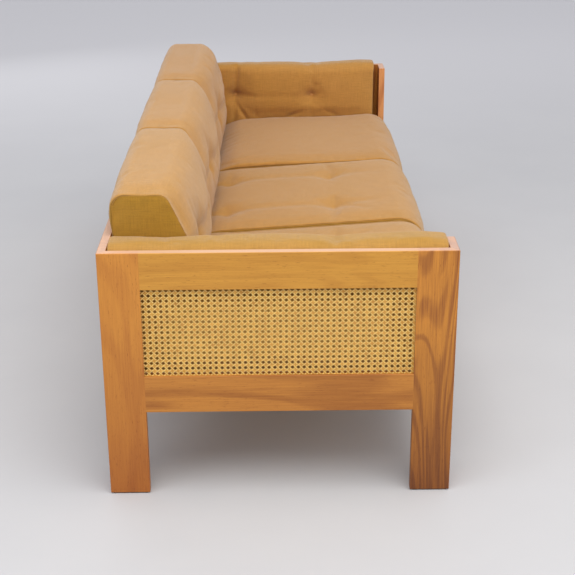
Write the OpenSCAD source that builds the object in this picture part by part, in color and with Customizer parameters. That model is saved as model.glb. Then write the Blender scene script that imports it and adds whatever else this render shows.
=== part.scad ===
// Three-seat sofa: a teak frame of two open end frames joined by long rails,
// woven cane in the end frames and the back, and eight loose fabric cushions.
// Millimetres. +Z is up, X runs along the sofa, and the front faces -Y.
// "Left" and "right" are as seen from in front: left is -X.

/* [Overall] */
// length over the two end frames
length = 1920; // [1600:10:2200]
// depth over the front and back boards
depth = 760; // [700:5:850]
// height of the arms and of the back rail
arm_height = 574; // [520:1:640]

/* [Boards] */
// thickness of every frame board
board = 19; // [15:0.5:25]
// width of each of a leg's two boards
leg_width = 88; // [70:1:110]
// height of the top rails
top_rail = 83; // [60:1:100]
// height of the bottom rails at the ends and the back
bottom_rail = 86; // [60:1:100]
// height of the front rail, low enough for the seat cushions to pass over
front_rail_height = 80; // [60:1:82]
// floor to the bottom rails
clearance = 203; // [150:1:240]
// width of the two uprights in the back
stile_width = 60; // [40:1:90]
// broken edge on the outer corners and the top
arris = 1.2; // [0.5:0.1:3]

/* [Joints] */
// thickness of a tenon
tenon_t = 7; // [5:0.5:9]
// length of an end rail's tenon
tenon_l = 30; // [20:1:40]
// length of a back upright's tenon
stile_tenon_l = 20; // [10:1:30]
// shoulder above and below a tenon
shoulder = 12; // [6:1:20]
// play around a tenon in its mortise
play = 0.2; // [0.1:0.05:0.5]
// radius of the rail dowels
dowel_r = 4; // [3:0.5:5]
// length of a dowel
dowel_l = 60; // [30:1:80]
// distance of the two dowels above and below a joint's middle
dowel_dz = 28.5; // [20:0.5:32]
// length of a steel joint plate
plate_l = 60; // [40:1:80]
// height of a joint plate
plate_h = 45; // [30:1:48]
// thickness of a joint plate, let in flush
plate_t = 2.5; // [1.5:0.5:3]
// radius of the wood screws
screw_r = 2; // [1.5:0.25:2.5]
// length of a joint plate's screw
plate_screw_l = 14; // [10:1:16]

/* [Cane] */
// width of the rebate that takes the cane
rebate = 8; // [5:1:12]
// outer lip left in front of the cane
lip = 6; // [4:0.5:9]
// thickness of the woven sheet
cane_t = 2; // [1.5:0.5:3]

/* [Seat deck] */
// fall of the deck towards the back, degrees
slope = 3.63; // [0:0.01:6]
// height of the deck's top at mid depth
deck_z = 261.4; // [255:0.1:262]
// thickness of a slat
slat_t = 15; // [10:1:18]
// width of a slat
slat_w = 60; // [40:1:80]
// number of slats
slat_count = 17; // [11:2:21]
// distance from slat to slat
slat_pitch = 100; // [80:1:120]
// half length of a slat
slat_half = 355; // [340:1:356]
// width of the ledgers under the slats
ledger = 30; // [20:1:40]
// half length of the ledgers
ledger_half = 835; // [820:1:838]
// length of a slat's screw
slat_screw_l = 30; // [25:1:35]
// height of the boards the arm cushions stand on
arm_deck_z = 285; // [280:1:290]
// thickness of those boards
arm_deck_t = 15; // [12:1:18]

/* [Feet] */
// thickness of the felt glides
glide_t = 3; // [2:0.5:5]
// width of a glide
glide_w = 15; // [10:1:17]

/* [Cushions] */
// distance between the seat cushions' seams
cushion_pitch = 569; // [560:1:575]
// width of a seat or back cushion
cushion_w = 568; // [559:1:574]
// thickness of a seat cushion
seat_t = 134; // [110:1:150]
// front of a seat cushion from mid depth
seat_front = 380; // [360:1:380]
// back of a seat cushion from mid depth
seat_back = 350; // [330:1:350]
// top of the back cushions
back_top = 672; // [620:1:720]
// rear face of the back cushions
back_rear = 358; // [350:1:360]
// front edge of the back cushions' top
back_crest = 236; // [220:1:260]
// where a back cushion's front face bends back towards its crest
back_knee = 188; // [170:1:220]
// height of that bend
back_knee_z = 560; // [500:5:620]
// front face of a back cushion where it stands on the seat
back_foot = 180; // [150:1:210]
// top of the arm cushions
arm_top = 593; // [580:1:600]
// thickness of an arm cushion
arm_t = 86.5; // [80:0.5:87]
// front end of the arm cushions
arm_front = 348; // [330:1:358]
// back end of the arm cushions
arm_back = 358; // [340:1:360]
// cover with its wadding, around the foam
wrap = 6; // [4:0.5:10]
// gap between a cushion and what it rests on
gap = 0.3; // [0.2:0.1:1]

/* [Tufts] */
// half distance between tufts across a seat or back cushion
tuft_dx = 137; // [100:1:180]
// rear tufts of a seat cushion
tuft_rear = 125; // [80:1:160]
// front tufts of a seat cushion
tuft_fore = 165; // [120:1:200]
// height of a back cushion's buttons
back_button_z = 530; // [480:1:600]
// height of an arm cushion's buttons
arm_button_z = 497; // [440:1:540]
// half distance between an arm cushion's buttons
arm_button_dy = 132; // [100:1:180]
// radius of a button
button_r = 7.5; // [5:0.5:11]
// thickness of a button
button_t = 3; // [2:0.5:4]
// radius of the pocket that a tuft pulls in
pocket_r = 11; // [8:0.5:16]
// depth of that pocket
pocket_d = 4; // [3:0.5:5]
// radius of the cord
cord_r = 1.2; // [0.8:0.1:2]

/* [Hidden] */
$fn = 48;
e = 1;
half_l = length / 2;
half_d = depth / 2;
in_l = half_l - board;
in_d = half_d - board;
leg_x = half_l - leg_width;
leg_y = half_d - leg_width;
open_lo = clearance + bottom_rail;
open_hi = arm_height - top_rail;
panel_w = (2 * leg_x - 2 * stile_width) / 3;
panel_x = panel_w + stile_width;
rebate_d = board - lip;
front_top = clearance + front_rail_height;
fall = tan(slope);
back_mid = (open_hi + arm_height) / 2 + 1;
low_mid = clearance + bottom_rail / 2 - 4;
front_mid = clearance + front_rail_height / 2;
arm_x = (in_l - 0.5) - arm_t / 2;
arm_y = (arm_back - arm_front) / 2;

// height of the deck plane, lowered by d, at depth y
function deck(y, d = 0) = deck_z - y * fall - d / cos(slope);

// corner i of the closed list p of [x, y, radius], as points along its round
function turn(p, i) = let (n = len(p), a = p[(i + n - 1) % n], b = p[i], c = p[(i + 1) % n],
    u = [a.x - b.x, a.y - b.y] / norm([a.x - b.x, a.y - b.y]),
    v = [c.x - b.x, c.y - b.y] / norm([c.x - b.x, c.y - b.y]),
    half = acos(u * v) / 2,
    m = (u + v) / norm(u + v),
    o = [b.x, b.y] + m * b.z / sin(half),
    from = atan2(-m.y, -m.x), s = sign(u.x * v.y - u.y * v.x))
    [for (k = [0:6]) o + b.z * [cos(from + s * (90 - half) * (1 - k / 3)),
                                sin(from + s * (90 - half) * (1 - k / 3))]];
function rounded(p) = [for (i = [0:len(p) - 1]) each turn(p, i)];

// ---------- placing ----------

// a right-hand or back piece, turned over to the left or the front
module side(sx, sy = 1) mirror([sx < 0 ? 1 : 0, 0, 0]) mirror([0, sy < 0 ? 1 : 0, 0]) children();

// a profile in Y and Z, drawn out along X
module along_x(l) rotate([90, 0, 90]) linear_extrude(l, center = true) children();

// a profile in X and Z, drawn out along Y
module along_y(l) rotate([90, 0, 0]) linear_extrude(l, center = true) children();

// the sloping frame of the seat deck
module on_deck(x = 0) translate([x, 0, deck_z]) rotate([-slope, 0, 0]) children();

module box(lo, hi) translate(lo) cube(hi - lo);

// ---------- cuts shared by several boards ----------

module end_rebate() box([in_l - e, -leg_y - rebate, open_lo - rebate],
                        [in_l + rebate_d, leg_y + rebate, open_hi + rebate]);

module back_rebates() for (i = [-1:1])
    box([i * panel_x - panel_w / 2 - rebate, in_d - e, open_lo - rebate],
        [i * panel_x + panel_w / 2 + rebate, in_d + rebate_d, open_hi + rebate]);

module end_tenon(lo, hi, p = 0) box([in_l + 6 - p, -leg_y - tenon_l - 5 * p, lo + shoulder - p],
                                    [in_l + 6 + tenon_t + p, leg_y + tenon_l + 5 * p, hi - shoulder + p]);

module stile_tenon(x, p = 0) box([x - stile_width / 2 + shoulder - p, in_d + 6 - p, open_lo - stile_tenon_l - 5 * p],
                                 [x + stile_width / 2 - shoulder + p, in_d + 6 + tenon_t + p, open_hi + stile_tenon_l + 5 * p]);

// the six places where a long rail meets a leg: [end, front or back, height]
module at_joints() for (sx = [-1, 1], j = [[1, back_mid], [1, low_mid], [-1, front_mid]])
    side(sx, j[0]) translate([leg_x, in_d, j[1]]) children();

module dowel(p = 0) for (s = [-1, 1])
    translate([0, board / 2, s * dowel_dz]) rotate([0, 90, 0]) cylinder(r = dowel_r + p, h = dowel_l + 10 * p, center = true);

module plate(p = 0) translate([-plate_l / 2 - p, -e * p / 0.2, -plate_h / 2 - p])
    cube([plate_l + 2 * p, plate_t + e * p / 0.2, plate_h + 2 * p]);

module screw(l, p = 0) {
    cylinder(r1 = screw_r + p, r2 = 2 * screw_r + p, h = screw_r);
    translate([0, 0, screw_r - l]) cylinder(r = screw_r + p, h = l - screw_r / 2);
}

module plate_screw_set(p = 0) for (x = [-15, 15], z = [-12.5, 12.5])
    translate([x, screw_r, z]) rotate([90, 0, 0]) screw(plate_screw_l, p);

module joint_cuts() at_joints() {
    dowel(0.1);
    plate(0.2);
    plate_screw_set(0.05);
}

module broken_edge(l) cube([l, arris * sqrt(2), arris * sqrt(2)], center = true);

// ---------- end frames ----------

module leg_side(sx, sy) color("sienna") side(sx, sy) difference() {
    translate([0, 0, glide_t]) linear_extrude(arm_height - glide_t) polygon([[in_l, in_d], [in_l, leg_y],
        [half_l, leg_y], [half_l, half_d - arris], [half_l - arris / 2, half_d - arris / 2]]);
    for (x = [in_l, half_l]) translate([x, half_d - leg_width / 2, arm_height]) rotate([45, 0, 90]) broken_edge(leg_width + 20);
    end_rebate();
    end_tenon(open_hi, arm_height, play);
    end_tenon(clearance, open_lo, play);
}

module leg_face(sx, sy) color("peru") side(sx) difference() {
    side(1, sy) difference() {
        translate([0, 0, glide_t]) linear_extrude(arm_height - glide_t) polygon([[in_l, in_d], [half_l - arris / 2, half_d - arris / 2],
            [half_l - arris, half_d], [leg_x, half_d], [leg_x, in_d]]);
        for (y = [in_d, half_d]) translate([half_l - leg_width / 2, y, arm_height]) rotate([45, 0, 0]) broken_edge(leg_width + 20);
    }
    joint_cuts();
    if (sy > 0) back_rebates();
}

module end_top_rail(sx) color("peru") side(sx) difference() {
    union() {
        along_y(2 * leg_y) polygon([[in_l, open_hi], [half_l - arris / 2, open_hi], [half_l, open_hi + arris / 2],
            [half_l, arm_height - arris], [half_l - arris, arm_height], [in_l + arris, arm_height], [in_l, arm_height - arris]]);
        end_tenon(open_hi, arm_height);
    }
    end_rebate();
}

module end_bottom_rail(sx) color("peru") side(sx) difference() {
    union() {
        along_y(2 * leg_y) polygon([[in_l, clearance], [half_l - arris, clearance], [half_l, clearance + arris],
            [half_l, open_lo - arris / 2], [half_l - arris / 2, open_lo], [in_l, open_lo]]);
        end_tenon(clearance, open_lo);
    }
    end_rebate();
}

module end_cane(sx) color("burlywood") side(sx)
    box([half_l - lip - cane_t, -leg_y - rebate + 0.5, open_lo - rebate + 0.5],
        [half_l - lip, leg_y + rebate - 0.5, open_hi + rebate - 0.5]);

// four mitred strips that fill a rebate w wide and h high behind the cane, with a hair between them
module beads(w, h) linear_extrude(rebate_d - cane_t) for (a = [[w, h, 0], [w, h, 180], [h, w, 90], [h, w, 270]])
    rotate(a[2]) polygon([[-a[0] / 2 + 0.1, -a[1] / 2], [a[0] / 2 - 0.1, -a[1] / 2],
                          [a[0] / 2 - rebate - 0.1, -a[1] / 2 + rebate], [-a[0] / 2 + rebate + 0.1, -a[1] / 2 + rebate]]);

module end_beads(sx) color("sienna") side(sx) translate([in_l, 0, (open_lo + open_hi) / 2])
    rotate([90, 0, 90]) beads(2 * (leg_y + rebate), open_hi - open_lo + 2 * rebate);

// ---------- back and front ----------

module back_top_rail() color("peru") difference() {
    along_x(2 * leg_x) polygon([[in_d, open_hi], [half_d - arris / 2, open_hi], [half_d, open_hi + arris / 2],
        [half_d, arm_height - arris], [half_d - arris, arm_height], [in_d + arris, arm_height], [in_d, arm_height - arris]]);
    back_rebates();
    for (s = [-1, 1]) stile_tenon(s * panel_x / 2, play);
    joint_cuts();
}

module back_bottom_rail() color("peru") difference() {
    along_x(2 * leg_x) polygon([[in_d, clearance], [half_d - arris, clearance], [half_d, clearance + arris],
        [half_d, open_lo - arris / 2], [half_d - arris / 2, open_lo], [in_d, open_lo]]);
    back_rebates();
    for (s = [-1, 1]) stile_tenon(s * panel_x / 2, play);
    joint_cuts();
}

module back_stiles() color("sienna") difference() {
    for (s = [-1, 1]) {
        box([s * panel_x / 2 - stile_width / 2, in_d, open_lo], [s * panel_x / 2 + stile_width / 2, half_d, open_hi]);
        stile_tenon(s * panel_x / 2);
    }
    back_rebates();
}

module back_cane(i) color("burlywood")
    box([i * panel_x - panel_w / 2 - rebate + 0.5, half_d - lip - cane_t, open_lo - rebate + 0.5],
        [i * panel_x + panel_w / 2 + rebate - 0.5, half_d - lip, open_hi + rebate - 0.5]);

module back_beads() color("sienna") for (i = [-1:1]) translate([i * panel_x, in_d, (open_lo + open_hi) / 2])
    rotate([-90, 0, 0]) beads(panel_w + 2 * rebate, open_hi - open_lo + 2 * rebate);

module front_rail() color("peru") difference() {
    along_x(2 * leg_x) polygon([[-in_d, clearance], [-half_d + arris, clearance], [-half_d, clearance + arris],
        [-half_d, front_top - arris], [-half_d + arris, front_top], [-in_d, front_top]]);
    joint_cuts();
}

module rail_dowels() color("tan") at_joints() dowel();

module joint_plates() color("silver") difference() {
    at_joints() plate();
    at_joints() plate_screw_set(0.05);
}

module plate_screws() color("gray") at_joints() plate_screw_set();

// ---------- seat deck ----------

// the ends of the slats, where each is screwed down
module at_slat_ends() for (i = [0:slat_count - 1], s = [-1, 1])
    on_deck((i - (slat_count - 1) / 2) * slat_pitch) translate([0, s * (slat_half - 8), -screw_r - 0.5]) children();

module ledger_pair(y0, y1, z0) for (s = [-1, 1])
    translate([s * (ledger_half + board / 2 + 0.5) / 2, 0, 0]) along_x(ledger_half - board / 2 - 0.5)
        polygon([[y0, z0], [y1, z0], [y1, deck(y1, slat_t)], [y0, deck(y0, slat_t)]]);

module front_ledgers() color("tan") difference() {
    ledger_pair(-in_d, -in_d + ledger, clearance + 25);
    at_slat_ends() screw(slat_screw_l, 0.05);
}

module back_ledgers() color("tan") difference() {
    ledger_pair(in_d - ledger, in_d, clearance + 1);
    at_slat_ends() screw(slat_screw_l, 0.05);
}

module centre_stretcher() color("tan") difference() {
    along_x(board) polygon([[-in_d, clearance + 3], [in_d, clearance + 3], [in_d, deck(in_d, slat_t)], [-in_d, deck(-in_d, slat_t)]]);
    at_slat_ends() screw(slat_screw_l, 0.05);
}

module seat_slats() color("wheat") difference() {
    for (i = [0:slat_count - 1]) on_deck((i - (slat_count - 1) / 2) * slat_pitch)
        box([-slat_w / 2, -slat_half, -slat_t], [slat_w / 2, slat_half, 0]);
    at_slat_ends() {
        screw(slat_screw_l, 0.05);
        translate([0, 0, screw_r - 0.01]) cylinder(r = 2 * screw_r + 0.05, h = 3);
    }
}

module slat_screws() color("gray") at_slat_ends() screw(slat_screw_l);

module arm_decks() color("wheat") for (s = [-1, 1]) side(s)
    box([in_l - arm_t + 0.5, -in_d, arm_deck_z - arm_deck_t], [in_l, in_d, arm_deck_z]);

module arm_cleats() color("tan") for (s = [-1, 1]) side(s)
    box([in_l - ledger, -in_d + ledger, arm_deck_z - arm_deck_t - ledger], [in_l, in_d - ledger, arm_deck_z - arm_deck_t]);

module felt_glides() color("dimgray") for (sx = [-1, 1], sy = [-1, 1]) side(sx, sy) {
    box([in_l + 2, leg_y + 6, 0], [in_l + 2 + glide_w, half_d - 6, glide_t]);
    box([leg_x + 6, in_d + 2, 0], [in_l - 4, in_d + 2 + glide_w, glide_t]);
}

// ---------- cushions ----------

module seat_shape(w) polygon(rounded([[-seat_front + w, gap + w, 26 - w], [seat_back - w, gap + w, 14 - w],
    [seat_back - w, seat_t - w, 14 - w], [-seat_front + w, seat_t - w, 52 - w]]));

// the front face in two slopes: back_s(0) above the bend, back_s(1) below it
function back_s(i) = i == 0 ? (back_crest - back_knee) / (back_top - back_knee_z)
    : (back_knee - back_foot) / (back_knee_z - deck(back_foot, -seat_t));
function back_k(i) = sqrt(1 + back_s(i) * back_s(i));
back_tuft_y = back_knee - back_s(1) * (back_knee_z - back_button_z);

module back_shape(w) let (z = w * (back_k(1) - back_k(0)) / (back_s(0) - back_s(1)), foot = back_foot + w * back_k(1))
    polygon(rounded([[back_rear - w, deck(back_rear, -seat_t - gap - w), 14 - w], [back_rear - w, back_top - w, 30 - w],
    [back_crest + w * (back_k(0) - back_s(0)), back_top - w, 34 - w],
    [back_knee + w * back_k(0) + back_s(0) * z, back_knee_z + z, 90 - w], [foot, deck(foot, -seat_t - gap - w), 20 - w]]));

module arm_shape(w) polygon(rounded([[-arm_t / 2 + w, arm_deck_z + gap + w, 20 - w], [arm_t / 2 - w, arm_deck_z + gap + w, 20 - w],
    [arm_t / 2 - w, arm_top - w, 26 - w], [-arm_t / 2 + w, arm_top - w, 26 - w]]));

module seat_solid(i, w = 0) on_deck(i * cushion_pitch) along_x(cushion_w - 2 * w) seat_shape(w);
module back_solid(i, w = 0) translate([i * cushion_pitch, 0, 0]) along_x(cushion_w - 2 * w) back_shape(w);
module arm_solid(s, w = 0) translate([s * arm_x, arm_y, 0]) along_y(arm_front + arm_back - 2 * w) arm_shape(w);

// a tuft's axis, from its lower or front face: placed and l long
module at_seat_tufts(i) on_deck(i * cushion_pitch) for (x = [-1, 1], y = [-tuft_fore, tuft_rear])
    translate([x * tuft_dx, y, gap]) children();
module at_back_tufts(i) for (x = [-1, 1])
    translate([i * cushion_pitch + x * tuft_dx, back_tuft_y, back_button_z]) rotate([-90, 0, 0]) children();
module at_arm_tufts(s) for (y = [-1, 1])
    translate([s * arm_x - arm_t / 2, arm_y + y * arm_button_dy, arm_button_z]) rotate([0, 90, 0]) children();

seat_l = seat_t - gap;
back_l = back_rear - back_tuft_y;

// cord with a disc in the pocket at each end; f sinks the first pocket further where the face slants
module buttoned(l, r, f = 0) {
    translate([0, 0, pocket_d + f - button_t]) cylinder(r = r, h = button_t);
    translate([0, 0, l - pocket_d]) cylinder(r = r, h = button_t);
    translate([0, 0, pocket_d + f - 0.5]) cylinder(r = cord_r, h = l - 2 * pocket_d - f + 1);
}

module pockets(l, r, f = 0) {
    translate([0, 0, -4]) cylinder(r = r, h = pocket_d + f + 4);
    translate([0, 0, l - pocket_d]) cylinder(r = r, h = pocket_d + 4);
    cylinder(r = cord_r + 0.1, h = l);
}

module seat_cover(i) color("goldenrod") difference() {
    seat_solid(i);
    seat_solid(i, wrap);
    if (i < 1) at_seat_tufts(i) pockets(seat_l, 0.7 * pocket_r);
}
module seat_foam(i) color("lightyellow") difference() {
    seat_solid(i, wrap);
    if (i < 1) at_seat_tufts(i) cylinder(r = cord_r + 0.1, h = seat_l);
}
module seat_ties(i) color("darkgoldenrod") at_seat_tufts(i) buttoned(seat_l, 0.5 * button_r);

module back_cover(i) color("goldenrod") difference() {
    back_solid(i);
    back_solid(i, wrap);
    at_back_tufts(i) pockets(back_l, pocket_r, 1);
}
module back_foam(i) color("lightyellow") difference() {
    back_solid(i, wrap);
    at_back_tufts(i) {
        cylinder(r = cord_r + 0.1, h = back_l);
        cylinder(r = pocket_r, h = pocket_d + 1);
    }
}
module back_buttons(i) color("darkgoldenrod") at_back_tufts(i) buttoned(back_l, button_r, 1);

module arm_cover(s) color("goldenrod") difference() {
    arm_solid(s);
    arm_solid(s, wrap);
    at_arm_tufts(s) pockets(arm_t, pocket_r);
}
module arm_foam(s) color("lightyellow") difference() {
    arm_solid(s, wrap);
    at_arm_tufts(s) cylinder(r = cord_r + 0.1, h = arm_t);
}
module arm_buttons(s) color("darkgoldenrod") at_arm_tufts(s) buttoned(arm_t, button_r);

// ---------- the nodes ----------

leg_side(-1, -1);  // leg_side_front_left
leg_side(1, -1);  // leg_side_front_right
leg_side(-1, 1);  // leg_side_back_left
leg_side(1, 1);  // leg_side_back_right
leg_face(-1, -1);  // leg_face_front_left
leg_face(1, -1);  // leg_face_front_right
leg_face(-1, 1);  // leg_face_back_left
leg_face(1, 1);  // leg_face_back_right
end_top_rail(-1);  // end_top_rail_left
end_top_rail(1);  // end_top_rail_right
end_bottom_rail(-1);  // end_bottom_rail_left
end_bottom_rail(1);  // end_bottom_rail_right
end_cane(-1);  // end_cane_left
end_cane(1);  // end_cane_right
end_beads(-1);  // end_beads_left
end_beads(1);  // end_beads_right
back_top_rail();
back_bottom_rail();
back_stiles();
back_cane(-1);  // back_cane_left
back_cane(0);  // back_cane_middle
back_cane(1);  // back_cane_right
back_beads();
front_rail();
front_ledgers();
back_ledgers();
centre_stretcher();
arm_decks();
arm_cleats();
seat_slats();
slat_screws();
joint_plates();
plate_screws();
rail_dowels();
felt_glides();
seat_cover(-1);  // seat_cover_left
seat_cover(0);  // seat_cover_middle
seat_cover(1);  // seat_cover_right
seat_foam(-1);  // seat_foam_left
seat_foam(0);  // seat_foam_middle
seat_foam(1);  // seat_foam_right
seat_ties(-1);  // seat_ties_left
seat_ties(0);  // seat_ties_middle
back_cover(-1);  // back_cover_left
back_cover(0);  // back_cover_middle
back_cover(1);  // back_cover_right
back_foam(-1);  // back_foam_left
back_foam(0);  // back_foam_middle
back_foam(1);  // back_foam_right
back_buttons(-1);  // back_buttons_left
back_buttons(0);  // back_buttons_middle
back_buttons(1);  // back_buttons_right
arm_cover(-1);  // arm_cover_left
arm_cover(1);  // arm_cover_right
arm_foam(-1);  // arm_foam_left
arm_foam(1);  // arm_foam_right
arm_buttons(-1);  // arm_buttons_left
arm_buttons(1);  // arm_buttons_right
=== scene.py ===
# %% [markdown]
# # A three-seat sofa: teak boards, cane panels and tufted wool cushions
# The joinery comes from the CAD frame and is only given its finishes here. What a board saw
# can't make is made here: the woven cane, and the eight loose cushions with their tufts.

import math

import bpy
import numpy as np
from mathutils import Matrix


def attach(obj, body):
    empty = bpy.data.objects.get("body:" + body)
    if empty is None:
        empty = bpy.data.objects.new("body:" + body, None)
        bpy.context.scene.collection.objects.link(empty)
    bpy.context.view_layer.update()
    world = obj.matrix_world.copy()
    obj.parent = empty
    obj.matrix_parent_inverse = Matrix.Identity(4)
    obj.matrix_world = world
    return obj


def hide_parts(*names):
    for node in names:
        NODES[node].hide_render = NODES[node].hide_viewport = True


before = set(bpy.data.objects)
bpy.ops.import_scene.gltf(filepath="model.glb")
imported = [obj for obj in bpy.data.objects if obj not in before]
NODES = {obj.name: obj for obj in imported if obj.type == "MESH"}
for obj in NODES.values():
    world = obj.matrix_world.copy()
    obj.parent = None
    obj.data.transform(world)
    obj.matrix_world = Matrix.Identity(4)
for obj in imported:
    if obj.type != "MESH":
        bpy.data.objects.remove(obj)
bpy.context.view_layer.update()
MM = 0.001
scene = bpy.context.scene

# %% [markdown]
# ## The camera
# A sofa is usually shown from the front, but here the eye stands off one end at head height
# and looks down along the length. A long lens keeps the near board and the far arm in
# proportion. The direction is written as three turns, and the camera's matrix is built from
# the three unit vectors that they give.


# %% Camera
def aim(place, yaw, pitch, roll):
    """Matrix of a camera at place that looks along (cos yaw cos pitch, sin yaw cos pitch,
    -sin pitch), with its right and up vectors turned by roll about that line."""
    yaw, pitch, roll = np.radians((yaw, pitch, roll))
    ahead = np.array((np.cos(yaw) * np.cos(pitch), np.sin(yaw) * np.cos(pitch), -np.sin(pitch)))
    right = np.cross(ahead, (0, 0, 1))
    right /= np.linalg.norm(right)
    up = np.cross(right, ahead)
    across = np.cos(roll) * right + np.sin(roll) * up
    upward = np.cos(roll) * up - np.sin(roll) * right
    matrix = np.eye(4)
    matrix[:3, :4] = np.column_stack((across, upward, -ahead, place))
    return Matrix(matrix.tolist())


camera = bpy.data.objects.new("camera", bpy.data.cameras.new("camera"))
scene.collection.objects.link(camera)
camera.data.sensor_width, camera.data.lens = 36.0, 77.9
camera.matrix_world = aim((-3.3917, 0.0099, 1.4648), yaw=-0.678, pitch=21.75, roll=-0.305)
scene.camera = camera
print("camera", [round(v, 3) for v in camera.matrix_world.translation])

# %% [markdown]
# ## Small tools
# Colours are picked as screen values, so one function turns them to the linear light that the
# shaders count in. One more function adds a node with its settings and its links, and a third
# makes a named material. Everything else is written out where it is used.


# %% Colour and node tools
def linear(code, alpha=1.0):
    """Linear colour of a screen hex code: v / 12.92 under 0.04045, else ((v + 0.055) / 1.055) ^ 2.4."""
    v = np.array([int(code[i : i + 2], 16) for i in (1, 3, 5)]) / 255
    v = np.where(v <= 0.04045, v / 12.92, ((v + 0.055) / 1.055) ** 2.4)
    return (*v.tolist(), alpha)


def add(tree, kind, settings=None, links=None):
    """Adds one node. A setting is a property of the node, or an input's name or number; a link
    joins an input to another node's output."""
    new = tree.nodes.new("ShaderNode" + kind)
    for key, value in (settings or {}).items():
        if isinstance(key, str) and hasattr(new, key):
            setattr(new, key, value)
        else:
            new.inputs[key].default_value = value
    for key, source in (links or {}).items():
        tree.links.new(source, new.inputs[key])
    return new


def material(name, settings):
    """A new material with one Principled shader, and its settings on the shader's own sockets."""
    made = bpy.data.materials.new(name)
    made.use_nodes = True
    tree = made.node_tree
    tree.nodes.clear()
    shader = add(tree, "BsdfPrincipled", settings)
    add(tree, "OutputMaterial", links={"Surface": shader.outputs[0]})
    return made, tree, shader


# %% [markdown]
# ## Teak
# The boards are solid teak, planed, sanded and rubbed with oil: a satin surface, golden to
# orange brown, with darker growth lines that stretch along the board and fine open pores.
# Growth rings are shells round the trunk, and a saw cuts them at a low angle, so a plain-sawn
# board shows the contour lines of a slowly changing depth. That is how the figure is drawn
# here: a smooth noise, much longer along the grain than across it, is the depth into the
# trunk, and a sine of it draws one line per year. Each board has its own offset and colour.


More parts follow.
